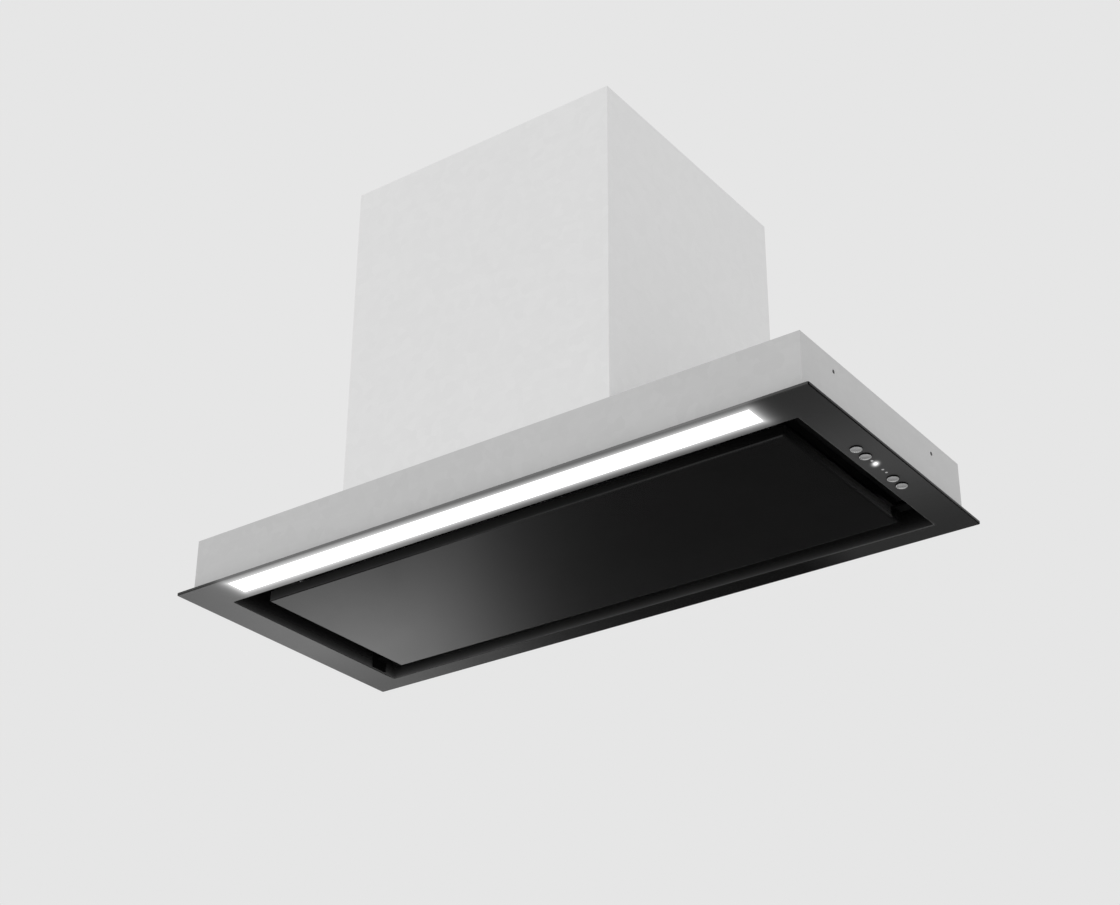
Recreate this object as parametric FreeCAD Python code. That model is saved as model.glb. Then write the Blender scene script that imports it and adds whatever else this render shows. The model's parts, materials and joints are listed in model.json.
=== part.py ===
import FreeCAD
import Part
import math
import os

# Built-in range hood in millimetres: +X to the right seen from the front, +Y back, +Z up.
# The origin is the middle of the seat plane, where the frame's lip meets the cabinet's underside.

# Clearances and fits
overrun = 5.0
sliding_gap = 0.3
running_gap = 0.05

# Bottom frame
frame_width = 798.0
frame_depth = 350.0
frame_sheet = 1.2
lip_height = 3.0
corner_radius = 2.0
bend_radius = 0.9
front_margin = 49.0
rear_margin = 26.0
side_margin = 39.5
recess_height = 38.0
recess_flange = 8.0

# Lower casing
casing_inset = 13.0
casing_sheet = 0.8
casing_height = 65.0
casing_foot = 9.0
casing_fold = 10.0
airway_margin = 9.7

# Tower casing
tower_width = 345.0
tower_top = 447.0
tower_fold = 12.0

# Suction panel
panel_height = 12.0
panel_sheet = 1.0
panel_recess = 2.5
panel_bend = 1.6
panel_side_gap = 29.5
panel_front_gap = 25.4
panel_rear_gap = 21.6
liner_drop = 1.0

# Panel hinge
hinge_from_rear = 7.4
hinge_pin_radius = 2.5
hinge_head_radius = 4.5
hinge_head_length = 2.0
hinge_pin_inside = 12.0
boss_length = 14.0
boss_width = 13.0
bracket_sheet = 2.0
bracket_width = 22.0
bracket_height = 20.0
bracket_eye = 6.5

# Panel catches
magnet_radius = 8.0
magnet_height = 6.0
magnet_from_side = 60.0
magnet_from_front = 14.0
catch_length = 26.0
catch_width = 18.0
catch_sheet = 1.0
catch_arm_width = 18.0
catch_arm_sheet = 1.2
catch_leg_height = 16.0

# Grease filters and their carrier
carrier_sheet = 1.0
filter_gap = 4.0
filter_side_gap = 38.0
filter_front_gap = 5.0
filter_height = 9.0
filter_rail = 12.0
filter_skin = 0.6
carrier_ledge = 11.0
mesh_pitch_x = 27.0
mesh_pitch_y = 20.0
mesh_strand = 3.0
mesh_height = 2.4
hook_width = 30.0
hook_reach = 4.0
hook_sheet = 1.0
hook_share = 0.3

# Filter latches
pocket_width = 44.0
pocket_length = 26.0
pocket_wall = 5.0
pocket_depth = 6.0
latch_wing = 3.0
latch_wing_height = 1.5
tongue_width = 14.0
tongue_height = 2.0
tongue_reach = 4.2
pull_height = 4.0
pull_width = 5.0
strike_width = 24.0
strike_sheet = 1.0

# Lamp
lamp_from_side = 69.0
lamp_from_front = 10.0
lamp_rear_gap = 13.0
lamp_corner = 1.0
lamp_flange = 4.0
lamp_flange_sheet = 1.2
channel_height = 13.0
channel_wall = 1.2
lamp_board_sheet = 1.6
lamp_board_width = 14.0
chip_size = 3.0
chip_height = 0.8
chip_count = 24

# Push buttons and indicator lights
control_offset = 1.65
control_middle = 3.6
button_radius = 5.85
button_proud = 2.5
button_dome = 0.6
button_edge = 0.3
button_flange_radius = 7.2
button_flange_height = 1.0
button_stem_radius = 3.0
button_travel = 1.0
button_inner_pitch = 56.0
button_pair_pitch = 18.2
light_radius = 1.3
light_pitch = 7.35
light_steps = (-2, -1, 1, 2)
guide_side_gap = 0.1
guide_length = 124.0
guide_height = 8.0
stem_proud = 1.0
switch_size = 6.0
switch_height = 3.5
board_sheet = 1.6
pillar_length = 6.0

# Blower
blower_z = 230.0
impeller_radius = 90.0
blade_depth = 16.0
impeller_length = 140.0
impeller_disc = 3.0
impeller_ring = 2.5
impeller_ring_width = 6.0
blade_count = 30
blade_sheet = 1.2
blade_sweep = 7.0
blade_bow = 3.0
hub_radius = 14.0
hub_length = 20.0
shaft_radius = 4.0
tongue_gap = 9.0
volute_step = 11.0
tongue_angle = 64.0
scroll_wall = 2.5
scroll_end_gap = 6.5
scroll_flange = 7.0
scroll_flange_sheet = 3.0
scroll_screw_inset = 3.2
outlet_rise = 115.0
inlet_lap = 12.0
bell_depth = 4.0
bell_bevel = 1.3
scroll_screw_angles = (100, 150, 210, 260, 310)

# Motor
motor_radius = 44.0
motor_gap = 4.0
motor_cap_length = 14.0
motor_cap_radius = 30.0
motor_boss_radius = 16.0
shaft_seat = 28.0
spider_sheet = 2.0
spider_ring = 9.0
spider_arm_width = 16.0
spider_reach = 8.0
grommet_radius = 7.0
grommet_height = 3.0
arm_count = 3

# Hangers of the blower
hanger_sheet = 1.5
hanger_height = 30.0
hanger_foot = 25.0
hanger_lap = 6.0

# Outlet
collar_from_rear = 102.0
collar_radius = 74.5
collar_wall = 2.0
collar_height = 50.0
collar_flange = 18.0
collar_flange_sheet = 2.0
duct_wall = 2.0
duct_folds = 7
flap_height = 12.0
flap_sheet = 1.5
flap_gap = 1.0
flap_ledge = 3.0
axle_radius = 2.0
knuckle_radius = 4.0
knuckle_length = 28.0

# Screws
screw_head_radius = 3.6
screw_head_height = 2.2
screw_shank_radius = 1.75
screw_length = 7.0
tower_screw_inset = 7.0
tower_screw_share = 0.62
carrier_screw_share = 0.6

# Wall fixing holes
fixing_radius = 2.25
fixing_pitch = 200.0
fixing_drop = 15.0

# Electronics
box_width = 130.0
box_depth = 140.0
box_wall = 2.0
box_side_gap = 40.2
box_floor_gap = 2.2
box_y = 10.0
lid_sheet = 2.0
power_board_inset = 4.0
power_part_headroom = 8.4
transformer_width = 32.0
relay_width = 20.0
gland_offset_x = 20.0
gland_offset_y = 40.0
gland_radius = 9.0
gland_neck_radius = 7.0
gland_height = 14.0
gland_flange_height = 3.0
gland_bore = 4.0
gland_lip = 1.6
gland_tail = 6.0

# Running capacitor
capacitor_radius = 17.0
capacitor_length = 62.0
capacitor_side_gap = 41.7
capacitor_z = 190.0
clip_sheet = 2.0
clip_height = 20.0

# Places worked out from the sizes above
half_width = frame_width / 2
half_depth = frame_depth / 2
face_z = -lip_height
plate_top = face_z + frame_sheet
open_x = half_width - side_margin
open_front = front_margin - half_depth
open_rear = half_depth - rear_margin
recess_top = face_z + recess_height
carrier_top = recess_top + carrier_sheet

casing_x = half_width - casing_inset
casing_y = half_depth - casing_inset
casing_inner_x = casing_x - casing_sheet
casing_inner_y = casing_y - casing_sheet
casing_ceiling = casing_height - casing_sheet

tower_x = tower_width / 2
tower_inner_x = tower_x - casing_sheet
tower_ceiling = tower_top - casing_sheet
rear_panel_front = casing_inner_y - casing_sheet
airway_x = tower_inner_x - tower_fold - airway_margin
airway_y = casing_inner_y - tower_fold - airway_margin
fixing_z = casing_height - fixing_drop

panel_bottom = face_z + panel_recess
panel_floor = panel_bottom + panel_sheet
panel_top = panel_bottom + panel_height
panel_rear = open_rear - panel_rear_gap
panel_front = open_front + panel_front_gap
panel_half = open_x - panel_side_gap
panel_inner_x = panel_half - panel_sheet
liner_top = panel_top - liner_drop
hinge_y = panel_rear - hinge_from_rear
hinge_z = panel_bottom + panel_height / 2
magnet_x = panel_half - magnet_from_side

filter_bottom = recess_top - filter_height
filter_front = open_front + filter_front_gap
filter_rear = open_rear - filter_gap
filter_inner_x = filter_gap / 2
filter_width = open_x - filter_side_gap - filter_inner_x

lamp_front = lamp_from_front - half_depth
lamp_rear = open_front - lamp_rear_gap
lamp_half = half_width - lamp_from_side
channel_front = -casing_inner_y + sliding_gap
channel_rear = lamp_rear + lamp_flange + sliding_gap
channel_top = plate_top + channel_height

control_x = (open_x + frame_sheet + casing_inner_x) / 2 + control_offset
guide_half = casing_inner_x - guide_side_gap - control_x
guide_top = plate_top + guide_height
flange_top = plate_top + button_flange_height
chamber_top = flange_top + button_travel + sliding_gap
stem_top = guide_top + stem_proud
switch_bottom = stem_top + button_travel + sliding_gap
board_bottom = switch_bottom + switch_height
board_top = board_bottom + board_sheet
button_places = (
    control_middle - button_inner_pitch / 2 - button_pair_pitch,
    control_middle - button_inner_pitch / 2,
    control_middle + button_inner_pitch / 2,
    control_middle + button_inner_pitch / 2 + button_pair_pitch,
)
light_places = [control_middle + light_pitch * step for step in light_steps]

blower_y = -volute_step
impeller_half = impeller_length / 2
impeller_inner_radius = impeller_radius - blade_depth
inlet_radius = impeller_radius - inlet_lap
scroll_outlet_z = blower_z + outlet_rise
tongue_turn = math.radians(tongue_angle)
scroll_inner_x = impeller_half + scroll_end_gap
scroll_outer_x = scroll_inner_x + scroll_wall
volute_half_step = volute_step / 2
arc_one = impeller_radius + tongue_gap + volute_half_step
arc_two = arc_one + volute_step
arc_three = arc_two + volute_step
scroll_front = blower_y - volute_half_step - arc_one
outlet_front = blower_y - volute_half_step + arc_one * math.cos(tongue_turn)
outlet_rear = blower_y + volute_half_step + arc_three
spider_x = scroll_outer_x + grommet_height
motor_front = hub_length / 2 + motor_gap
collar_y = casing_y - collar_from_rear
collar_top = tower_top + collar_height
collar_bore = collar_radius - collar_wall
flap_z = tower_top + flap_height
axle_z = flap_z + flap_sheet / 2
flap_slot = knuckle_radius + sliding_gap

box_height = casing_ceiling - carrier_top - lid_sheet - box_floor_gap
box_x = casing_inner_x - box_side_gap - box_width / 2
power_part_height = box_height - box_wall - board_sheet - power_part_headroom
gland_x = box_x + gland_offset_x
gland_y = box_y + gland_offset_y
capacitor_x = capacitor_side_gap - tower_inner_x

AXIS_X = FreeCAD.Vector(1, 0, 0)
AXIS_Y = FreeCAD.Vector(0, 1, 0)
AXIS_Z = FreeCAD.Vector(0, 0, 1)


def point(x, y, z):
    return FreeCAD.Vector(x, y, z)


def block(x0, x1, y0, y1, z0, z1):
    return Part.makeBox(x1 - x0, y1 - y0, z1 - z0, point(x0, y0, z0))


def rod(radius, x, y, z, length, axis=AXIS_Z):
    return Part.makeCylinder(radius, length, point(x, y, z), axis)


def tube(outer, inner, x, y, z, length, axis=AXIS_Z):
    start = point(x, y, z) - axis * overrun
    bore = Part.makeCylinder(inner, length + overrun * 2, start, axis)
    return rod(outer, x, y, z, length, axis).cut(bore)


def rounded_block(x0, x1, y0, y1, z0, z1, radius):
    body = block(x0, x1, y0, y1, z0, z1)
    if radius <= 0:
        return body
    upright = [edge for edge in body.Edges if edge.BoundBox.ZLength > (z1 - z0) / 2]
    return body.makeFillet(radius, upright)


def frame_ring(x, y0, y1, inset, z0, z1):
    outer = block(-x, x, y0, y1, z0, z1)
    hole = block(inset - x, x - inset, y0 + inset, y1 - inset, z0 - overrun, z1 + overrun)
    return outer.cut(hole)


def joined(solids):
    shape = solids[0].multiFuse(solids[1:])
    return shape.removeSplitter()


def without(shape, tools):
    return shape.cut(Part.makeCompound(tools))


def mirrored_x(shape):
    return shape.mirror(point(0, 0, 0), AXIS_X)


def both_sides(shape):
    return Part.makeCompound([shape, mirrored_x(shape)])


def save(name, shape):
    shape.exportStep("parts/" + name + ".step")


def rim_edges(shape, height, x, y0, y1):
    # The edges at one height that follow a rectangle's four sides or its round corners.
    found = []
    for edge in shape.Edges:
        box = edge.BoundBox
        level = abs(box.ZMin - height) < running_gap and abs(box.ZMax - height) < running_gap
        centre = edge.CenterOfMass
        on_side = abs(abs(centre.x) - x) < corner_radius
        on_end = abs(centre.y - y0) < corner_radius or abs(centre.y - y1) < corner_radius
        inside = abs(centre.x) < x + corner_radius and y0 - corner_radius < centre.y < y1 + corner_radius
        if level and inside and (on_side or on_end):
            found.append(edge)
    return found


def screw(x, y, z, axis):
    # A pan head lies against z, and the shank goes the other way.
    start = point(x, y, z)
    half = screw_head_height / 2
    head = Part.makeCylinder(screw_head_radius, half, start, axis)
    head = head.fuse(Part.makeCone(screw_head_radius, screw_head_radius - half, half, start + axis * half, axis))
    shank = Part.makeCylinder(screw_shank_radius, screw_length, point(x, y, z), axis * -1)
    return head.fuse(shank)


def screw_holes(places, axis):
    holes = []
    for x, y, z in places:
        start = point(x, y, z) - axis * screw_length
        holes.append(Part.makeCylinder(screw_shank_radius, screw_length * 2, start, axis))
    return holes


carrier_screw_x = open_x + frame_sheet + recess_flange / 2
carrier_screw_y = (open_rear - open_front) / 2 * carrier_screw_share
carrier_middle = (open_rear + open_front) / 2
carrier_screws = [
    (side * carrier_screw_x, carrier_middle + end * carrier_screw_y, carrier_top)
    for side in (-1, 1) for end in (-1, 1)
]
tower_screw_z = casing_height + casing_sheet
tower_screws = [
    (side * (tower_inner_x - tower_screw_inset), end * casing_inner_y * tower_screw_share, tower_screw_z)
    for side in (-1, 1) for end in (-1, 1)
]
collar_screw_radius = collar_radius + collar_flange * tower_screw_share
collar_screws = [
    (
        collar_screw_radius * math.cos(math.radians(angle)),
        collar_y + collar_screw_radius * math.sin(math.radians(angle)),
        tower_top + collar_flange_sheet,
    )
    for angle in (45, 135, 225, 315)
]


def bottom_frame():
    outer = rounded_block(-half_width, half_width, -half_depth, half_depth, face_z, 0, corner_radius)
    inner_x = half_width - frame_sheet
    inner_y = half_depth - frame_sheet
    hollow = rounded_block(-inner_x, inner_x, -inner_y, inner_y, plate_top, overrun, corner_radius - frame_sheet)
    wall_x = open_x + frame_sheet
    wall_front = open_front - frame_sheet
    wall_rear = open_rear + frame_sheet
    walls = block(-wall_x, wall_x, wall_front, wall_rear, face_z, recess_top)
    flange_x = wall_x + recess_flange
    flange = block(
        -flange_x, flange_x, wall_front - recess_flange, wall_rear + recess_flange,
        recess_top - frame_sheet, recess_top)
    mouth = rounded_block(
        -open_x, open_x, open_front, open_rear, face_z - overrun, recess_top + overrun, corner_radius)
    body = joined([outer.cut(hollow), walls, flange]).cut(mouth)
    holes = [block(
        -lamp_half - sliding_gap, lamp_half + sliding_gap,
        lamp_front - sliding_gap, lamp_rear + sliding_gap, face_z - overrun, plate_top + overrun)]
    for y in button_places:
        holes.append(rod(button_radius + sliding_gap, control_x, y, face_z - overrun, overrun * 2))
    for y in light_places:
        holes.append(rod(light_radius + running_gap, control_x, y, face_z - overrun, overrun * 2))
    body = without(body, holes + screw_holes(carrier_screws, AXIS_Z))
    bends = rim_edges(body, face_z, open_x, open_front, open_rear)
    bends += rim_edges(body, face_z, half_width, -half_depth, half_depth)
    return body.makeFillet(bend_radius, bends)


def flange_gasket():
    outer_x = casing_x + casing_foot
    outer_y = casing_y + casing_foot
    return frame_ring(outer_x, -outer_y, outer_y, casing_foot, plate_top + casing_sheet, 0)


def lower_casing_wrap():
    x = casing_inner_x
    outer = block(-x, x, -casing_y, casing_y, plate_top, casing_height)
    inner = block(
        -x - overrun, x + overrun, -casing_inner_y, casing_inner_y, plate_top - overrun, casing_ceiling)
    feet = []
    for y in (-casing_y - casing_foot, casing_y):
        feet.append(block(-x, x, y, y + casing_foot, plate_top, plate_top + casing_sheet))
    airway = rounded_block(
        -airway_x, airway_x, -airway_y, airway_y,
        casing_ceiling - overrun, casing_height + overrun, corner_radius)
    gland = rod(gland_neck_radius, gland_x, gland_y, casing_ceiling - overrun, overrun * 2 + casing_sheet)
    body = joined([outer.cut(inner)] + feet)
    return without(body, [airway, gland] + screw_holes(tower_screws, AXIS_Z))


def lower_casing_side():
    # The right side panel, with folds that lie inside the wrap.
    inner_x = casing_inner_x
    fold_x = inner_x - casing_fold
    wall = block(inner_x, casing_x, -casing_y, casing_y, plate_top, casing_height)
    foot = block(casing_x, casing_x + casing_foot, -casing_y, casing_y, plate_top, plate_top + casing_sheet)
    top_fold = block(
        fold_x, inner_x, -casing_inner_y, casing_inner_y, casing_ceiling - casing_sheet, casing_ceiling)
    folds = []
    for y in (-casing_inner_y, casing_inner_y - casing_sheet):
        folds.append(block(fold_x, inner_x, y, y + casing_sheet, plate_top + casing_foot, casing_ceiling))
    holes = []
    for end in (-1, 1):
        y = end * fixing_pitch / 2
        holes.append(rod(fixing_radius, inner_x - overrun, y, fixing_z, overrun * 2, AXIS_X))
    return without(joined([wall, foot, top_fold] + folds), holes)


def tower_wrap():
    outer = block(-tower_x, tower_x, -casing_y, casing_y, casing_height, tower_ceiling)
    inner = block(
        -tower_inner_x, tower_inner_x, -casing_inner_y, casing_y + overrun,
        casing_height - overrun, tower_ceiling + overrun)
    fold_z = casing_height + casing_sheet
    base = block(-tower_inner_x, tower_inner_x, -casing_inner_y, rear_panel_front, casing_height, fold_z)
    base_hole = block(
        tower_fold - tower_inner_x, tower_inner_x - tower_fold, tower_fold - casing_inner_y,
        casing_y, casing_height - overrun, fold_z + overrun)
    rear_folds = []
    for x in (-tower_inner_x, tower_inner_x - tower_fold):
        rear_folds.append(block(x, x + tower_fold, casing_inner_y, casing_y, casing_height, tower_ceiling))
    body = joined([outer.cut(inner), base.cut(base_hole)] + rear_folds)
    return without(body, screw_holes(tower_screws, AXIS_Z))


def tower_rear_panel():
    x = tower_inner_x
    sheet = block(-x, x, rear_panel_front, casing_inner_y, casing_height, tower_ceiling)
    fold_x = x - tower_fold - sliding_gap
    fold = block(
        -fold_x, fold_x, rear_panel_front - tower_fold, rear_panel_front,
        casing_height, casing_height + casing_sheet)
    return joined([sheet, fold])


def tower_top_panel():
    sheet = block(-tower_x, tower_x, -casing_y, casing_y, tower_ceiling, tower_top)
    fold_x = tower_inner_x
    outer = block(
        -fold_x, fold_x, -casing_inner_y, rear_panel_front, tower_ceiling - tower_fold, tower_ceiling)
    inner = block(
        casing_sheet - fold_x, fold_x - casing_sheet, casing_sheet - casing_inner_y,
        rear_panel_front - casing_sheet, tower_ceiling - tower_fold - overrun, tower_ceiling)
    hole = rod(collar_bore, 0, collar_y, tower_ceiling - overrun, overrun * 2 + casing_sheet)
    return without(joined([sheet, outer.cut(inner)]), [hole] + screw_holes(collar_screws, AXIS_Z))


def suction_panel():
    outer = rounded_block(
        -panel_half, panel_half, panel_front, panel_rear, panel_bottom, panel_top, corner_radius)
    hollow = rounded_block(
        -panel_inner_x, panel_inner_x, panel_front + panel_sheet, panel_rear - panel_sheet,
        panel_floor, panel_top + overrun, corner_radius - panel_sheet)
    body = outer.cut(hollow)
    body = body.cut(rod(
        hinge_pin_radius + running_gap, -panel_half - overrun, hinge_y, hinge_z,
        (panel_half + overrun) * 2, AXIS_X))
    bends = rim_edges(body, panel_bottom, panel_half, panel_front, panel_rear)
    return body.makeFillet(min(panel_bend, corner_radius - running_gap), bends)


def panel_liner():
    x = panel_inner_x
    y0 = panel_front + panel_sheet
    y1 = panel_rear - panel_sheet
    radius = corner_radius - panel_sheet
    outer = rounded_block(-x, x, y0, y1, panel_floor, liner_top, radius)
    hollow = block(
        panel_sheet - x, x - panel_sheet, y0 + panel_sheet, y1 - panel_sheet,
        panel_floor - overrun, liner_top - panel_sheet)
    pin_hole = rod(hinge_pin_radius + sliding_gap, -x - overrun, hinge_y, hinge_z, overrun * 2, AXIS_X)
    return without(outer, [hollow, pin_hole, mirrored_x(pin_hole)])


def panel_hinge_boss():
    # The right boss, folded round the pin between the panel's floor and its liner.
    x1 = panel_inner_x - panel_sheet
    x0 = x1 - boss_length
    rear = panel_rear - panel_sheet * 2
    body = block(x0, x1, rear - boss_width, rear, panel_floor, liner_top - panel_sheet)
    bore = rod(hinge_pin_radius + running_gap, x0 - overrun, hinge_y, hinge_z, boss_length + overrun * 2, AXIS_X)
    return body.cut(bore)


def hinge_bracket():
    # The right bracket: a leg on the recess wall and an arm to the eye beside the panel.
    eye_x = panel_half + sliding_gap
    base = block(
        open_x - bracket_sheet, open_x, hinge_y - bracket_width / 2, hinge_y + bracket_width / 2,
        hinge_z - bracket_eye, hinge_z - bracket_eye + bracket_height)
    arm_bottom = hinge_z + bracket_eye
    arm = block(
        eye_x, open_x, hinge_y - bracket_eye, hinge_y + bracket_eye, arm_bottom - bracket_sheet, arm_bottom)
    cheek = block(
        eye_x, eye_x + bracket_sheet, hinge_y - bracket_eye, hinge_y + bracket_eye, hinge_z, arm_bottom)
    eye = rod(bracket_eye, eye_x, hinge_y, hinge_z, bracket_sheet, AXIS_X)
    rib = Part.makePolygon([
        point(eye_x, hinge_y, arm_bottom), point(open_x, hinge_y, arm_bottom),
        point(open_x, hinge_y, hinge_z - bracket_eye + bracket_height), point(eye_x, hinge_y, arm_bottom)])
    web = Part.Face(rib).extrude(AXIS_Y * bracket_sheet)
    pin_hole = rod(hinge_pin_radius, eye_x - overrun, hinge_y, hinge_z, overrun * 2, AXIS_X)
    return joined([base, arm, cheek, eye, web]).cut(pin_hole)


def hinge_pin():
    eye_x = panel_half + sliding_gap
    start = panel_inner_x - panel_sheet - hinge_pin_inside
    head_x = eye_x + bracket_sheet
    shank = rod(hinge_pin_radius, start, hinge_y, hinge_z, head_x - start, AXIS_X)
    head = rod(hinge_head_radius, head_x, hinge_y, hinge_z, hinge_head_length, AXIS_X)
    return shank.fuse(head)


def catch_places():
    return [(side * magnet_x, panel_front + magnet_from_front) for side in (-1, 1)]


magnet_bottom = panel_top + sliding_gap
magnet_top = magnet_bottom + magnet_height


def catch_plates():
    plates = []
    for x, y in catch_places():
        plates.append(rounded_block(
            x - catch_length / 2, x + catch_length / 2, y - catch_width / 2, y + catch_width / 2,
            liner_top, liner_top + catch_sheet, corner_radius))
    return Part.makeCompound(plates)


def catch_magnet(x, y):
    body = rod(magnet_radius, x, y, magnet_bottom, magnet_height)
    lower = [edge for edge in body.Edges if edge.Closed and edge.CenterOfMass.z < magnet_bottom + running_gap]
    return body.makeChamfer(catch_sheet, lower)


def magnet_bracket(x, y):
    half = catch_arm_width / 2
    arm_top = magnet_top + catch_arm_sheet
    arm = block(x - half, x + half, open_front, y, magnet_top, arm_top)
    tip = rod(half, x, y, magnet_top, catch_arm_sheet)
    leg = block(
        x - half, x + half, open_front, open_front + catch_arm_sheet, arm_top - catch_leg_height, arm_top)
    return joined([arm, tip, leg])


def filter_span():
    return filter_inner_x, filter_inner_x + filter_width


def filter_middle():
    x0, x1 = filter_span()
    return (x0 + x1) / 2


def hook_places():
    x0, x1 = filter_span()
    return [x0 + (x1 - x0) * share for share in (hook_share, 1 - hook_share)]


def filter_carrier():
    x = open_x + frame_sheet + recess_flange
    y0 = open_front - frame_sheet - recess_flange
    y1 = open_rear + frame_sheet + recess_flange
    sheet = block(-x, x, y0, y1, recess_top, carrier_top)
    x0, x1 = filter_span()
    window = rounded_block(
        x0 + carrier_ledge, x1 - carrier_ledge, filter_front + pocket_length + pocket_wall,
        filter_rear - carrier_ledge, recess_top - overrun, carrier_top + overrun, corner_radius)
    sheet = without(sheet, [window, mirrored_x(window)] + screw_holes(carrier_screws, AXIS_Z))
    tabs = []
    for middle in hook_places():
        left = middle - hook_width / 2
        right = middle + hook_width / 2
        hook_z = filter_bottom - hook_sheet
        tabs.append(block(left, right, filter_rear, filter_rear + hook_sheet, hook_z, recess_top))
        tabs.append(block(left, right, filter_rear - hook_reach, filter_rear, hook_z, filter_bottom))
    strike_rear = filter_front - sliding_gap * 2
    strike = block(
        filter_middle() - strike_width / 2, filter_middle() + strike_width / 2,
        strike_rear - strike_sheet, strike_rear, filter_bottom, recess_top)
    slot = block(
        filter_middle() - tongue_width / 2 - sliding_gap, filter_middle() + tongue_width / 2 + sliding_gap,
        strike_rear - overrun, strike_rear + overrun, tongue_bottom - sliding_gap,
        tongue_bottom + tongue_height + sliding_gap)
    tabs.append(strike.cut(slot))
    return joined([sheet] + tabs + [mirrored_x(tab) for tab in tabs])


pocket_top = filter_bottom + pocket_depth
wing_bottom = filter_bottom + pocket_depth / 2
tongue_bottom = wing_bottom
latch_front = filter_front + pocket_wall + sliding_gap
latch_travel = tongue_reach + sliding_gap
latch_length = pocket_length - pocket_wall - sliding_gap * 2 - latch_travel


def filter_frame():
    # The right filter's folded edge channel with the latch housing at the front.
    x0, x1 = filter_span()
    outer = rounded_block(x0, x1, filter_front, filter_rear, filter_bottom, recess_top, corner_radius)
    window = block(
        x0 + filter_rail, x1 - filter_rail, filter_front + filter_rail, filter_rear - filter_rail,
        filter_bottom - overrun, recess_top + overrun)
    groove = block(
        x0 + filter_skin, x1 - filter_skin, filter_front + filter_skin, filter_rear - filter_skin,
        filter_bottom + filter_skin, recess_top - filter_skin)
    housing = latch_housing()
    channel = outer.cut(window).cut(groove).cut(housing)
    return joined([channel, housing]).cut(latch_pocket())


def latch_housing():
    half = pocket_width / 2 + pocket_wall
    middle = filter_middle()
    rear = filter_front + pocket_length + pocket_wall
    return block(middle - half, middle + half, filter_front, rear, filter_bottom, recess_top)


def latch_pocket():
    middle = filter_middle()
    half = pocket_width / 2 - latch_wing
    front = filter_front + pocket_wall
    rear = filter_front + pocket_length
    well = block(middle - half, middle + half, front, rear, filter_bottom - overrun, pocket_top)
    groove = block(
        middle - pocket_width / 2, middle + pocket_width / 2, front, rear,
        wing_bottom - sliding_gap, wing_bottom + latch_wing_height + sliding_gap)
    slot = block(
        middle - tongue_width / 2 - sliding_gap, middle + tongue_width / 2 + sliding_gap,
        filter_front - overrun, front + overrun, tongue_bottom - sliding_gap,
        tongue_bottom + tongue_height + sliding_gap)
    return joined([well, groove, slot])


def filter_latch():
    middle = filter_middle()
    half = pocket_width / 2 - latch_wing - sliding_gap
    rear = latch_front + latch_length
    body = block(middle - half, middle + half, latch_front, rear, filter_bottom, pocket_top - sliding_gap)
    wing_half = pocket_width / 2 - sliding_gap
    wings = block(
        middle - wing_half, middle + wing_half, latch_front, rear, wing_bottom,
        wing_bottom + latch_wing_height)
    tongue = block(
        middle - tongue_width / 2, middle + tongue_width / 2, filter_front - tongue_reach, latch_front,
        tongue_bottom, tongue_bottom + tongue_height)
    grip = block(
        middle - half, middle + half, rear - pull_width, rear, filter_bottom - pull_height, filter_bottom)
    return joined([body, wings, tongue, grip])


def mesh_diamond(x, y, z):
    dx = (mesh_pitch_x - mesh_strand) / 2
    dy = (mesh_pitch_y - mesh_strand) / 2
    corners = [point(x - dx, y, z), point(x, y - dy, z), point(x + dx, y, z), point(x, y + dy, z)]
    return Part.Face(Part.makePolygon(corners + corners[:1])).extrude(AXIS_Z * (mesh_height + overrun * 2))


def filter_mesh():
    # One expanded sheet on the lower flanges of the right filter's channel.
    x0, x1 = filter_span()
    z0 = filter_bottom + filter_skin
    sheet = block(
        x0 + filter_skin, x1 - filter_skin, filter_front + filter_skin, filter_rear - filter_skin,
        z0, z0 + mesh_height)
    sheet = sheet.cut(latch_housing())
    left = x0 + filter_rail
    right = x1 - filter_rail
    front = filter_front + pocket_length + pocket_wall + mesh_strand
    rear = filter_rear - filter_rail
    columns = int((right - left - mesh_strand) // mesh_pitch_x)
    rows = int((rear - front - mesh_strand) / mesh_pitch_y * 2) - 1
    start_x = (left + right - columns * mesh_pitch_x) / 2
    start_y = (front + rear - (rows - 1) * mesh_pitch_y / 2) / 2
    holes = []
    for row in range(rows):
        shift = row % 2
        for column in range(columns - shift):
            x = start_x + (column + (1 + shift) / 2) * mesh_pitch_x
            holes.append(mesh_diamond(x, start_y + row * mesh_pitch_y / 2, z0 - overrun))
    return without(sheet, holes)


def led_diffuser():
    window = rounded_block(
        -lamp_half, lamp_half, lamp_front, lamp_rear, face_z, plate_top, lamp_corner)
    flange = block(
        -lamp_half - lamp_flange, lamp_half + lamp_flange, channel_front + channel_wall,
        lamp_rear + lamp_flange - channel_wall, plate_top, plate_top + lamp_flange_sheet)
    return joined([window, flange])


def led_channel():
    x = lamp_half + lamp_flange + channel_wall
    outer = block(-x, x, channel_front, channel_rear, plate_top, channel_top)
    hollow = block(
        channel_wall - x, x - channel_wall, channel_front + channel_wall, channel_rear - channel_wall,
        plate_top - overrun, channel_top - channel_wall)
    return outer.cut(hollow)


def led_middle():
    return (channel_front + channel_rear) / 2


def led_board():
    top = channel_top - channel_wall
    half = lamp_board_width / 2
    return block(-lamp_half, lamp_half, led_middle() - half, led_middle() + half, top - lamp_board_sheet, top)


def led_chips():
    top = channel_top - channel_wall - lamp_board_sheet
    pitch = lamp_half * 2 / chip_count
    half = chip_size / 2
    chips = []
    for index in range(chip_count):
        x = (index + 1 / 2) * pitch - lamp_half
        chips.append(block(
            x - half, x + half, led_middle() - half, led_middle() + half, top - chip_height, top))
    return Part.makeCompound(chips)


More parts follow.
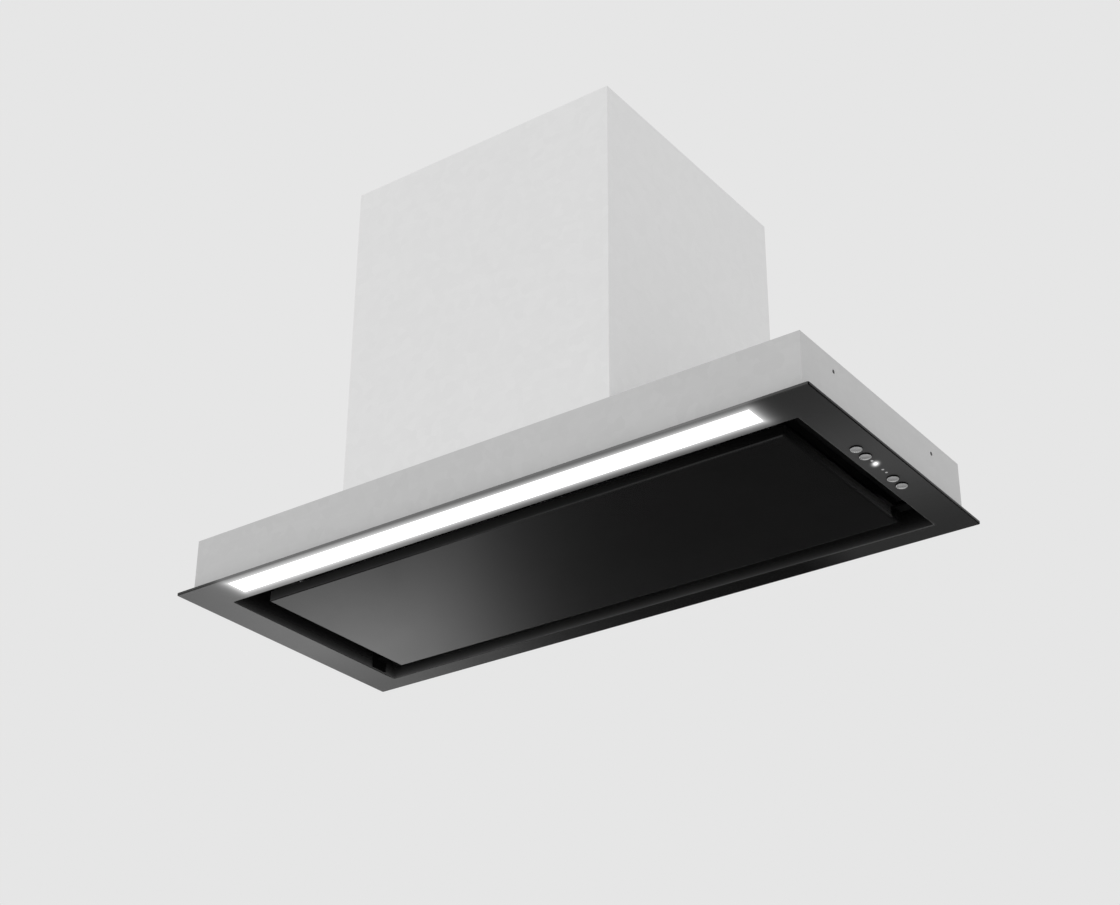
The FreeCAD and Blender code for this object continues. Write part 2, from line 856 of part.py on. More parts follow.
def button(y):
    # A turned cap with a shallow dome, a flange behind the plate and a stem.
    bottom = face_z - button_proud
    rim = button_radius - button_edge
    dome = Part.Arc(
        point(0, 0, bottom), point(rim / 2, 0, bottom + button_dome / 4),
        point(rim, 0, bottom + button_dome)).toShape()
    outline = [
        point(rim, 0, bottom + button_dome), point(button_radius, 0, bottom + button_dome + button_edge),
        point(button_radius, 0, plate_top), point(button_flange_radius, 0, plate_top),
        point(button_flange_radius, 0, flange_top), point(button_stem_radius, 0, flange_top),
        point(button_stem_radius, 0, stem_top), point(0, 0, stem_top), point(0, 0, bottom)]
    profile = Part.Face(Part.Wire([dome] + Part.makePolygon(outline).Edges))
    body = profile.revolve(point(0, 0, 0), AXIS_Z, 360)
    body.translate(point(control_x, y, 0))
    return body


def button_guide():
    x0 = control_x - guide_half
    x1 = control_x + guide_half
    y0 = control_middle - guide_length / 2
    body = block(x0, x1, y0, y0 + guide_length, plate_top, guide_top)
    pillars = []
    for y in (y0, y0 + guide_length - pillar_length):
        pillars.append(block(x0, x1, y, y + pillar_length, guide_top, board_bottom))
    cuts = []
    for y in button_places:
        cuts.append(rod(button_flange_radius + sliding_gap, control_x, y, plate_top - overrun,
                        chamber_top - plate_top + overrun))
        cuts.append(rod(button_stem_radius + sliding_gap, control_x, y, plate_top, guide_height + overrun))
    for y in light_places:
        cuts.append(rod(light_radius + running_gap, control_x, y, plate_top - overrun,
                        guide_height + overrun * 2))
    return without(joined([body] + pillars), cuts)


def indicator_lights():
    lights = []
    for y in light_places:
        lights.append(rod(light_radius, control_x, y, face_z, board_bottom - face_z))
    return Part.makeCompound(lights)


def control_board():
    y0 = control_middle - guide_length / 2
    return block(
        control_x - guide_half, control_x + guide_half, y0, y0 + guide_length, board_bottom, board_top)


def push_switches():
    half = switch_size / 2
    return Part.makeCompound([
        block(control_x - half, control_x + half, y - half, y + half, switch_bottom, board_bottom)
        for y in button_places])


def volute_face(grow, top):
    # The flow area in the plane of X = 0, grown outwards: three quarter arcs on a square of
    # centres, a tongue, and the outlet that goes straight up.
    h = volute_half_step
    tongue_y = outlet_front - grow
    first = arc_one + grow
    across = tongue_y - blower_y + h
    rise = math.sqrt(first * first - across * across)
    start = point(0, tongue_y, blower_z - h + rise)
    edges = [arc(-h, -h, first, math.atan2(rise, across), math.pi)]
    edges.append(arc(h, -h, arc_two + grow, math.pi, math.pi * 3 / 2))
    edges.append(arc(h, h, arc_three + grow, math.pi * 3 / 2, math.pi * 2))
    side = point(0, outlet_rear + grow, blower_z + h)
    side_top = point(0, side.y, top)
    inner_top = point(0, tongue_y, top)
    for begin, end in ((side, side_top), (side_top, inner_top), (inner_top, start)):
        edges.append(Part.LineSegment(begin, end).toShape())
    return Part.Face(Part.Wire(edges))


def arc(centre_y, centre_z, radius, start_turn, end_turn):
    places = []
    for turn in (start_turn, (start_turn + end_turn) / 2, end_turn):
        y = blower_y + centre_y + radius * math.cos(turn)
        z = blower_z + centre_z + radius * math.sin(turn)
        places.append(point(0, y, z))
    return Part.Arc(*places).toShape()


def scroll_screw_places():
    places = []
    for angle in scroll_screw_angles:
        turn = math.radians(angle)
        quarter = int(angle // 90)
        centre_y, centre_z, base = (
            (-1, -1, arc_one), (-1, -1, arc_one), (1, -1, arc_two), (1, 1, arc_three))[quarter]
        radius = base + scroll_wall + scroll_flange - scroll_screw_inset
        places.append((
            scroll_flange_sheet,
            blower_y + centre_y * volute_half_step + radius * math.cos(turn),
            blower_z + centre_z * volute_half_step + radius * math.sin(turn)))
    return places


def scroll_half():
    # The right half: side wall with its bell-mouthed inlet, half the spiral wall and the seam flange.
    outer = volute_face(scroll_wall, scroll_outlet_z).extrude(AXIS_X * scroll_outer_x)
    hollow = volute_face(0, scroll_outlet_z + overrun).extrude(AXIS_X * scroll_inner_x)
    flange = volute_face(scroll_wall + scroll_flange, scroll_outlet_z).extrude(AXIS_X * scroll_flange_sheet)
    inlet = rod(inlet_radius, 0, blower_y, blower_z, scroll_outer_x + overrun, AXIS_X)
    bell = tube(inlet_radius + bell_depth, inlet_radius, scroll_inner_x - bell_depth, blower_y, blower_z,
                bell_depth, AXIS_X)
    lip = [edge for edge in bell.Edges if edge.Closed and edge.CenterOfMass.x < scroll_inner_x - bell_depth / 2]
    bell = bell.makeChamfer(bell_bevel, lip)
    body = joined([outer, flange]).cut(hollow)
    body = joined([body.cut(inlet), bell])
    holes = screw_holes(scroll_screw_places(), AXIS_X) + screw_holes(spider_places(), AXIS_X)
    return without(body, holes)


def impeller_blade(turn):
    inner = impeller_inner_radius
    outer = impeller_radius - blade_sheet
    middle = (inner + outer) / 2
    sweep = math.radians(blade_sweep)
    bow = math.radians(blade_bow)
    edges = []
    sides = []
    for half in (-blade_sheet / 2, blade_sheet / 2):
        places = []
        for radius, swept in ((inner, 0), (middle, sweep / 2 - bow), (outer, sweep)):
            angle = turn + swept + half / radius
            places.append(point(0, radius * math.cos(angle), radius * math.sin(angle)))
        sides.append(places)
        edges.append(Part.Arc(*places).toShape())
    edges.append(Part.LineSegment(sides[0][0], sides[1][0]).toShape())
    edges.append(Part.LineSegment(sides[0][2], sides[1][2]).toShape())
    face = Part.Face(Part.Wire(Part.__sortEdges__(edges)))
    face.translate(point(-impeller_half + impeller_ring / 2, blower_y, blower_z))
    return face.extrude(AXIS_X * (impeller_length - impeller_ring))


def impeller():
    disc = rod(impeller_radius, -impeller_disc / 2, blower_y, blower_z, impeller_disc, AXIS_X)
    hub = rod(hub_radius, -hub_length / 2, blower_y, blower_z, hub_length, AXIS_X)
    solids = [disc, hub]
    for x in (-impeller_half, impeller_half - impeller_ring):
        solids.append(tube(
            impeller_radius, impeller_radius - impeller_ring_width, x, blower_y, blower_z,
            impeller_ring, AXIS_X))
    for index in range(blade_count):
        solids.append(impeller_blade(math.tau * index / blade_count))
    body = solids[0].multiFuse(solids[1:])
    bore = rod(shaft_radius, -hub_length, blower_y, blower_z, hub_length * 2, AXIS_X)
    return body.cut(bore)


def motor_shaft():
    return rod(shaft_radius, -hub_length / 2, blower_y, blower_z, motor_front + hub_length / 2 + shaft_seat, AXIS_X)


def motor_body():
    rear = spider_x
    outline = [
        (motor_front, 0), (motor_front, motor_cap_radius), (motor_front + motor_cap_length, motor_radius),
        (rear - motor_cap_length, motor_radius), (rear, motor_cap_radius), (rear, motor_boss_radius),
        (rear + spider_sheet, motor_boss_radius), (rear + spider_sheet, 0)]
    places = [point(x, radius, 0) for x, radius in outline]
    profile = Part.Face(Part.makePolygon(places + places[:1]))
    body = profile.revolve(point(0, 0, 0), AXIS_X, 360)
    body.translate(point(0, blower_y, blower_z))
    bore = rod(
        shaft_radius + running_gap, 0, blower_y, blower_z, motor_front + shaft_seat + sliding_gap, AXIS_X)
    return body.cut(bore)


def spider_places():
    radius = inlet_radius + spider_reach
    places = []
    for index in range(arm_count):
        turn = math.tau * index / arm_count + math.pi / 2
        places.append((
            spider_x + spider_sheet, blower_y + radius * math.cos(turn), blower_z + radius * math.sin(turn)))
    return places


def motor_spider():
    ring = tube(
        motor_boss_radius + spider_ring, motor_boss_radius, spider_x, blower_y, blower_z, spider_sheet, AXIS_X)
    solids = [ring]
    half = spider_arm_width / 2
    for index in range(arm_count):
        arm = block(
            spider_x, spider_x + spider_sheet, motor_boss_radius + spider_ring / 2,
            inlet_radius + spider_reach, -half, half)
        tip = rod(half, spider_x, inlet_radius + spider_reach, 0, spider_sheet, AXIS_X)
        arm = arm.fuse(tip)
        arm.rotate(point(0, 0, 0), AXIS_X, 360 * index / arm_count + 90)
        arm.translate(point(0, blower_y, blower_z))
        solids.append(arm)
    return without(joined(solids), screw_holes(spider_places(), AXIS_X))


def motor_grommets():
    return Part.makeCompound([
        tube(grommet_radius, screw_shank_radius, scroll_outer_x, y, z, grommet_height, AXIS_X)
        for x, y, z in spider_places()])


def blower_hanger(wall_y, scroll_y):
    # A folded strip from the tower's wall to the seam flange of the scroll.
    x0 = scroll_flange_sheet
    z0 = blower_z - hanger_height / 2
    z1 = blower_z + hanger_height / 2
    side = 1 if wall_y < scroll_y else -1
    lap_y = scroll_y - side * (scroll_wall + scroll_flange - hanger_lap)
    foot_y = wall_y + side * hanger_sheet
    strip = block(x0, x0 + hanger_sheet, min(wall_y, lap_y), max(wall_y, lap_y), z0, z1)
    foot = block(x0, x0 + hanger_foot, min(wall_y, foot_y), max(wall_y, foot_y), z0, z1)
    return joined([strip, foot])


def flat(corners):
    return Part.Face(Part.makePolygon(corners + corners[:1]))


def square_to_round(grow, bottom, top):
    # A folded transition: a flat triangle on each side and a fan of narrow ones at each corner.
    y0 = outlet_front - grow
    y1 = outlet_rear + grow
    x = scroll_inner_x + grow
    radius = collar_bore - duct_wall + grow
    corners = [point(x, y0, bottom), point(x, y1, bottom), point(-x, y1, bottom), point(-x, y0, bottom)]
    faces = [flat(corners)]
    rim = []
    for index, corner in enumerate(corners):
        apex = corners[(index + 1) % 4]
        places = []
        for step in range(duct_folds + 1):
            turn = math.pi / 2 * (index + step / duct_folds)
            places.append(point(radius * math.cos(turn), collar_y + radius * math.sin(turn), top))
        faces.append(flat([corner, apex, places[0]]))
        for begin, end in zip(places, places[1:]):
            faces.append(flat([apex, end, begin]))
        rim += places[:-1]
    faces.append(flat(rim))
    shell = Part.makeShell(faces)
    shell.sewShape()
    return Part.Solid(shell)


def outlet_duct():
    outer = square_to_round(duct_wall, scroll_outlet_z, tower_ceiling)
    inner = square_to_round(0, scroll_outlet_z, tower_ceiling)
    return outer.cut(inner)


def exhaust_collar():
    wall = tube(collar_radius, collar_bore, 0, collar_y, tower_top, collar_height)
    flange = tube(collar_radius + collar_flange, collar_bore, 0, collar_y, tower_top, collar_flange_sheet)
    ledge_top = flap_z - sliding_gap
    ledge = tube(
        collar_radius, collar_bore - flap_ledge, 0, collar_y, ledge_top - flap_ledge, flap_ledge)
    axle = rod(axle_radius, 0, collar_y - collar_radius - overrun, axle_z, collar_radius * 2 + overrun * 2, AXIS_Y)
    return without(joined([wall, flange, ledge]), [axle] + screw_holes(collar_screws, AXIS_Z))


def flap_axle():
    return rod(axle_radius, 0, collar_y - collar_radius, axle_z, collar_radius * 2, AXIS_Y)


def damper_flap(first_knuckle):
    # The right flap: half a disc and two knuckles on the axle. The left one's knuckles lie between.
    radius = collar_bore - flap_gap
    disc = rod(radius, 0, collar_y, flap_z, flap_sheet)
    half = block(
        flap_slot, radius + overrun, collar_y - radius, collar_y + radius,
        flap_z - overrun, flap_z + flap_sheet + overrun)
    solids = [disc.common(half)]
    for index in range(2):
        y0 = collar_y + first_knuckle + index * (knuckle_length + sliding_gap) * 2
        solids.append(rod(knuckle_radius, 0, y0, axle_z, knuckle_length, AXIS_Y))
        solids.append(block(0, flap_slot + flap_sheet, y0, y0 + knuckle_length, flap_z, flap_z + flap_sheet))
    bore = rod(axle_radius + running_gap, 0, collar_y - collar_radius, axle_z, collar_radius * 2, AXIS_Y)
    return joined(solids).cut(bore)


def knuckle_start(order):
    pitch = knuckle_length + sliding_gap
    return (order - 2) * pitch


def electronics_box():
    x0 = box_x - box_width / 2
    y0 = box_y - box_depth / 2
    z0 = casing_ceiling - box_height
    outer = rounded_block(x0, x0 + box_width, y0, y0 + box_depth, z0, casing_ceiling, corner_radius)
    hollow = block(
        x0 + box_wall, x0 + box_width - box_wall, y0 + box_wall, y0 + box_depth - box_wall,
        z0 - overrun, casing_ceiling - box_wall)
    gland = rod(gland_neck_radius, gland_x, gland_y, z0, box_height + overrun)
    return without(outer, [hollow, gland])


def electronics_lid():
    x0 = box_x - box_width / 2
    y0 = box_y - box_depth / 2
    z1 = casing_ceiling - box_height
    return rounded_block(x0, x0 + box_width, y0, y0 + box_depth, z1 - lid_sheet, z1, corner_radius)


def power_board():
    x0 = box_x - box_width / 2 + box_wall + power_board_inset
    x1 = box_x + box_width / 2 - box_wall - power_board_inset
    y0 = box_y - box_depth / 2 + box_wall + power_board_inset
    y1 = gland_y - gland_radius - power_board_inset
    z0 = casing_ceiling - box_height
    board = block(x0, x1, y0, y1, z0, z0 + board_sheet)
    left = x0 + power_board_inset
    right = x1 - power_board_inset
    front = y0 + power_board_inset
    bottom = z0 + board_sheet
    top = bottom + power_part_height
    transformer = block(left, left + transformer_width, front, front + transformer_width, bottom, top)
    relay = block(right - relay_width, right, front, front + relay_width, bottom, top)
    return joined([board, transformer, relay])


def cable_gland():
    neck_bottom = casing_ceiling - box_wall - gland_tail
    neck = rod(gland_neck_radius, gland_x, gland_y, neck_bottom, casing_height - neck_bottom)
    flange = rod(gland_radius, gland_x, gland_y, casing_height, gland_flange_height)
    cap = Part.makeCone(
        gland_neck_radius, gland_bore + gland_lip, gland_height - gland_flange_height,
        point(gland_x, gland_y, casing_height + gland_flange_height))
    bore_length = casing_height + gland_height - neck_bottom + overrun * 2
    bore = rod(gland_bore, gland_x, gland_y, neck_bottom - overrun, bore_length)
    return joined([neck, flange, cap]).cut(bore)


def capacitor():
    y = capacitor_radius + clip_sheet - casing_inner_y
    body = rod(capacitor_radius, capacitor_x, y, capacitor_z, capacitor_length)
    ends = [edge for edge in body.Edges if edge.Closed]
    return body.makeChamfer(clip_sheet, ends)


def capacitor_clip():
    y = capacitor_radius + clip_sheet - casing_inner_y
    z = capacitor_z + (capacitor_length - clip_height) / 2
    band = tube(capacitor_radius + clip_sheet, capacitor_radius, capacitor_x, y, z, clip_height)
    reach = capacitor_radius + clip_sheet * 4
    plate = block(
        capacitor_x - reach, capacitor_x + reach, -casing_inner_y, clip_sheet - casing_inner_y,
        z, z + clip_height)
    return joined([band, plate])


def screw_group(places, axis):
    return Part.makeCompound([screw(x, y, z, axis) for x, y, z in places])


def build():
    save("bottom_frame", bottom_frame())
    save("flange_gasket", flange_gasket())
    save("lower_casing_wrap", lower_casing_wrap())
    save("tower_wrap", tower_wrap())
    save("tower_rear_panel", tower_rear_panel())
    save("tower_top_panel", tower_top_panel())
    save("suction_panel", suction_panel())
    save("panel_liner", panel_liner())
    save("catch_plates", catch_plates())
    save("filter_carrier", filter_carrier())
    paired = {
        "lower_casing_side": lower_casing_side(),
        "hinge_bracket": hinge_bracket(),
        "filter_frame": filter_frame(),
        "filter_mesh": filter_mesh(),
        "filter_latch": filter_latch(),
        "scroll_half": scroll_half(),
    }
    for name, shape in paired.items():
        save(name + "_right", shape)
        save(name + "_left", mirrored_x(shape))
    save("panel_hinge_bosses", both_sides(panel_hinge_boss()))
    save("hinge_pins", both_sides(hinge_pin()))
    save("catch_magnets", Part.makeCompound([catch_magnet(x, y) for x, y in catch_places()]))
    save("magnet_brackets", Part.makeCompound([magnet_bracket(x, y) for x, y in catch_places()]))
    save("led_diffuser", led_diffuser())
    save("led_channel", led_channel())
    save("led_board", led_board())
    save("led_chips", led_chips())
    for number, y in enumerate(button_places, 1):
        save("button_" + str(number), button(y))
    save("button_guide", button_guide())
    save("indicator_lights", indicator_lights())
    save("control_board", control_board())
    save("push_switches", push_switches())
    save("impeller", impeller())
    save("motor_shaft", motor_shaft())
    save("motor_body", motor_body())
    save("motor_spider", motor_spider())
    save("motor_grommets", motor_grommets())
    save("blower_hanger_front", blower_hanger(-casing_inner_y, scroll_front))
    save("blower_hanger_rear", blower_hanger(rear_panel_front, outlet_rear))
    save("outlet_duct", outlet_duct())
    save("exhaust_collar", exhaust_collar())
    save("flap_axle", flap_axle())
    save("damper_flap_right", damper_flap(knuckle_start(0)))
    save("damper_flap_left", mirrored_x(damper_flap(knuckle_start(1))))
    save("electronics_box", electronics_box())
    save("electronics_lid", electronics_lid())
    save("power_board", power_board())
    save("cable_gland", cable_gland())
    save("capacitor", capacitor())
    save("capacitor_clip", capacitor_clip())
    save("casing_screws", screw_group(carrier_screws + tower_screws + collar_screws, AXIS_Z))
    save("blower_screws", screw_group(scroll_screw_places() + spider_places(), AXIS_X))


os.makedirs("parts", exist_ok=True)
build()
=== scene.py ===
import json
import math

import bpy
from mathutils import Matrix, Vector


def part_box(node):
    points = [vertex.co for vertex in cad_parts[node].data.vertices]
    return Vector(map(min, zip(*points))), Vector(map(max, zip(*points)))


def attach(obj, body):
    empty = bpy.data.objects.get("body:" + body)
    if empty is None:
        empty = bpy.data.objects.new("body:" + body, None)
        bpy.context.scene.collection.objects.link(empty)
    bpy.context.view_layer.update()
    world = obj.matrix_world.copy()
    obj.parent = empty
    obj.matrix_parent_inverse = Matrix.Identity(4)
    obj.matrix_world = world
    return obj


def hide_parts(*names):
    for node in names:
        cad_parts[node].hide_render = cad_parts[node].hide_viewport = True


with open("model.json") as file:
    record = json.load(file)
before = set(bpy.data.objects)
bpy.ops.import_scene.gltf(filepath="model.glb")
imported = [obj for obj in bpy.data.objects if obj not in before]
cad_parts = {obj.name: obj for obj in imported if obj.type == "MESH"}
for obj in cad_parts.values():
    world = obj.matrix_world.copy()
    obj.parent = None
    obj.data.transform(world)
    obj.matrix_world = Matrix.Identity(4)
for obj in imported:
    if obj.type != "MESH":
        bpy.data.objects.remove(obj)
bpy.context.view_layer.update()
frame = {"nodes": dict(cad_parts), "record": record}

# Places on the part, in metres. Its visible side looks down, so a depth counts upward from it.

FACE_Z = -0.003
SIDE_EDGE = 0.3980
OPENING_Y = 0.0115
OPENING_HALF = (0.3612, 0.1387)
OPENING_SPAN_X = (-0.36, 0.36)
OPENING_SPAN_Y = (-0.12, 0.15)
REAR_WALL_Y = 0.14
FRAME_FOLD = (0.0001, 0.0009)
LAMP_HALF = 0.330
LAMP_Y = (-0.165, -0.139)
PANEL_Z = -0.0005
PANEL_CORNER = (0.330, -0.1006)
PANEL_FRONT_WALL_Y = -0.0985
PANEL_RIGHT_WALL_X = 0.3280
PANEL_FOLD = (0.0002, 0.0014)
BUTTON_X = 0.3746
BUTTON_Y = (-0.0426, -0.0244, 0.0316, 0.0498)
CAP_Z = -0.0055
LIT_DOT = (BUTTON_X, -0.00375, FACE_Z)

# Stage. The places on the reflector card follow from where the photograph shows its reflections.

WHITE = (1.0, 1.0, 1.0, 1.0)
BACKGROUND = (0.791, 0.791, 0.791, 1.0)
FLOOR_Z = -2.6
FLOOR_HALF = 40.0
PLAIN_SHARE = 0.8
CARD_Z = FLOOR_Z + 0.05
CARD_HALF = 14.0
CARD_STRENGTH = 0.22
STREAK_CENTRE = (-4.155, 3.814)
STREAK_HALF = (0.65, 2.59)
STREAK_SLANT = 0.376
STREAK_STRENGTH = 1.70
DARK_CENTRE = (-2.45, 4.60)
DARK_HALF = (2.10, 1.90)
WORLD_STRENGTH = 0.97

CAMERA_YAW = -0.63076
CAMERA_PITCH = 0.49429
CAMERA_ROLL = 0.0055
CAMERA_PLACE = (1.16164, -1.59786, -0.93641)
CAMERA_LENS = 66.123


# Node helpers

def new_material(name):
    material = bpy.data.materials.new(name)
    material.use_nodes = True
    tree = material.node_tree
    shader = tree.nodes["Principled BSDF"]
    return material, tree, shader


def add(tree, kind, **values):
    node = tree.nodes.new(kind)
    for key, value in values.items():
        setattr(node, key, value)
    return node


def object_coords(tree):
    return add(tree, "ShaderNodeTexCoord").outputs["Object"]


def axes(tree, source):
    node = add(tree, "ShaderNodeSeparateXYZ")
    tree.links.new(source, node.inputs["Vector"])
    return [node.outputs[axis] for axis in "XYZ"]


def stretched(tree, source, scale):
    mapping = add(tree, "ShaderNodeMapping")
    mapping.inputs["Scale"].default_value = scale
    tree.links.new(source, mapping.inputs["Vector"])
    return mapping.outputs["Vector"]


def noise(tree, source, scale, detail=3.0):
    node = add(tree, "ShaderNodeTexNoise")
    node.inputs["Scale"].default_value = scale
    node.inputs["Detail"].default_value = detail
    node.inputs["Roughness"].default_value = 0.5
    tree.links.new(source, node.inputs["Vector"])
    return node.outputs["Fac"]


def cells(tree, source, scale):
    node = add(tree, "ShaderNodeTexVoronoi")
    node.inputs["Scale"].default_value = scale
    tree.links.new(source, node.inputs["Vector"])
    return node.outputs["Color"]


def ranged(tree, source, low, high, over=(0.0, 1.0)):
    # Goes from low to high while the source goes over the range, and stays level outside it.
    node = add(tree, "ShaderNodeMapRange")
    node.inputs["From Min"].default_value = over[0]
    node.inputs["From Max"].default_value = over[1]
    node.inputs["To Min"].default_value = low
    node.inputs["To Max"].default_value = high
    tree.links.new(source, node.inputs["Value"])
    return node.outputs["Result"]


def ramp(tree, source, stops):
    node = add(tree, "ShaderNodeValToRGB")
    elements = node.color_ramp.elements
    while len(elements) < len(stops):
        elements.new(0.5)
    for element, (place, colour) in zip(elements, stops):
        element.position = place
        element.color = (*colour, 1.0)
    tree.links.new(source, node.inputs["Fac"])
    return node.outputs["Color"]


def maths(tree, operation, first, second=None):
    node = add(tree, "ShaderNodeMath", operation=operation)
    for socket, value in zip(node.inputs, (first, second)):
        if value is None:
            continue
        if isinstance(value, (int, float)):
            socket.default_value = value
        else:
            tree.links.new(value, socket)
    return node.outputs["Value"]


def plus(tree, first, second):
    return maths(tree, "ADD", first, second)


def minus(tree, first, second):
    return maths(tree, "SUBTRACT", first, second)


def times(tree, first, second):
    return maths(tree, "MULTIPLY", first, second)


def square(tree, value):
    return times(tree, value, value)


def bump(tree, shader, height, strength, distance):
    node = add(tree, "ShaderNodeBump")
    node.inputs["Strength"].default_value = strength
    node.inputs["Distance"].default_value = distance
    tree.links.new(height, node.inputs["Height"])
    tree.links.new(node.outputs["Normal"], shader.inputs["Normal"])


def grey(value):
    return (value, value, value)


# Fields over a surface

def rectangle_distance(tree, place, half_x, y_span, z):
    # Metres from a rectangle that lies flat at height z.
    x, y, height = axes(tree, place)
    middle = (y_span[0] + y_span[1]) / 2
    half_y = (y_span[1] - y_span[0]) / 2
    across = maths(tree, "MAXIMUM", minus(tree, maths(tree, "ABSOLUTE", x), half_x), 0.0)
    along = maths(tree, "ABSOLUTE", minus(tree, y, middle))
    along = maths(tree, "MAXIMUM", minus(tree, along, half_y), 0.0)
    deep = minus(tree, height, z)
    total = plus(tree, square(tree, across), square(tree, along))
    return maths(tree, "SQRT", plus(tree, total, square(tree, deep)))


def point_distance(tree, place, centre):
    node = add(tree, "ShaderNodeVectorMath", operation="DISTANCE")
    tree.links.new(place, node.inputs[0])
    node.inputs[1].default_value = centre
    return node.outputs["Value"]


def slanted_distance(tree, place, centre, yaw, stretch):
    # Metres from a point in the plate's plane. The way along the yaw counts stretch times shorter.
    offset = add(tree, "ShaderNodeVectorMath", operation="SUBTRACT")
    tree.links.new(place, offset.inputs[0])
    offset.inputs[1].default_value = centre
    across = (math.cos(yaw), -math.sin(yaw), 0.0)
    along = (math.sin(yaw) / stretch, math.cos(yaw) / stretch, 0.0)
    squares = []
    for axis in (across, along):
        part = add(tree, "ShaderNodeVectorMath", operation="DOT_PRODUCT")
        tree.links.new(offset.outputs["Vector"], part.inputs[0])
        part.inputs[1].default_value = axis
        squares.append(square(tree, part.outputs["Value"]))
    return maths(tree, "SQRT", plus(tree, *squares))


def glow(tree, distance, peak, reach):
    # Falls off at once, and then ever more slowly.
    fall = maths(tree, "EXPONENT", times(tree, distance, -1.0 / reach))
    return times(tree, fall, peak)


def halo(tree, distance, peak, reach):
    # Falls off like a bell, so that it is full near the light and gone soon after.
    share = times(tree, distance, 1.0 / reach)
    fall = maths(tree, "EXPONENT", times(tree, square(tree, share), -1.0))
    return times(tree, fall, peak)


def patch(tree, place, centre, half, slant=0.0):
    # An oval patch with a soft edge: one in the middle and nearly nothing two half-widths out.
    # A slanted one leans over to the left as it goes back.
    x, y, _ = axes(tree, place)
    along = minus(tree, y, centre[1])
    across = plus(tree, minus(tree, x, centre[0]), times(tree, along, slant))
    across = times(tree, across, 1.0 / half[0])
    along = times(tree, along, 1.0 / half[1])
    apart = plus(tree, square(tree, across), square(tree, along))
    return maths(tree, "EXPONENT", times(tree, square(tree, apart), -1.0))


# Materials

def gloss(tree, shader, place, rough, spread, grain, depth):
    # Gloss that varies slowly over the piece, and a fine grain in the bump.
    smear = noise(tree, place, 35.0, detail=5.0)
    varied = ranged(tree, smear, rough - spread, rough + spread)
    tree.links.new(varied, shader.inputs["Roughness"])
    bump(tree, shader, noise(tree, place, grain, detail=2.0), 0.35, depth)


def grained(name, low, high, rough, spread, grain=900.0, depth=0.00012):
    # A plain moulded or painted surface whose colour varies slowly too.
    material, tree, shader = new_material(name)
    place = object_coords(tree)
    slow = noise(tree, place, 7.0, detail=4.0)
    tree.links.new(ramp(tree, slow, ((0.3, low), (0.7, high))), shader.inputs["Base Color"])
    gloss(tree, shader, place, rough, spread, grain, depth)
    return material, tree, shader


def coat(tree, shader, place, low, high, painted_light):
    # A slowly varying dark coat, with painted light and highlights added to its colour where the
    # last argument says so.
    shade = ranged(tree, noise(tree, place, 7.0, detail=4.0), low, high, over=(0.3, 0.7))
    tree.links.new(plus(tree, shade, painted_light), shader.inputs["Base Color"])


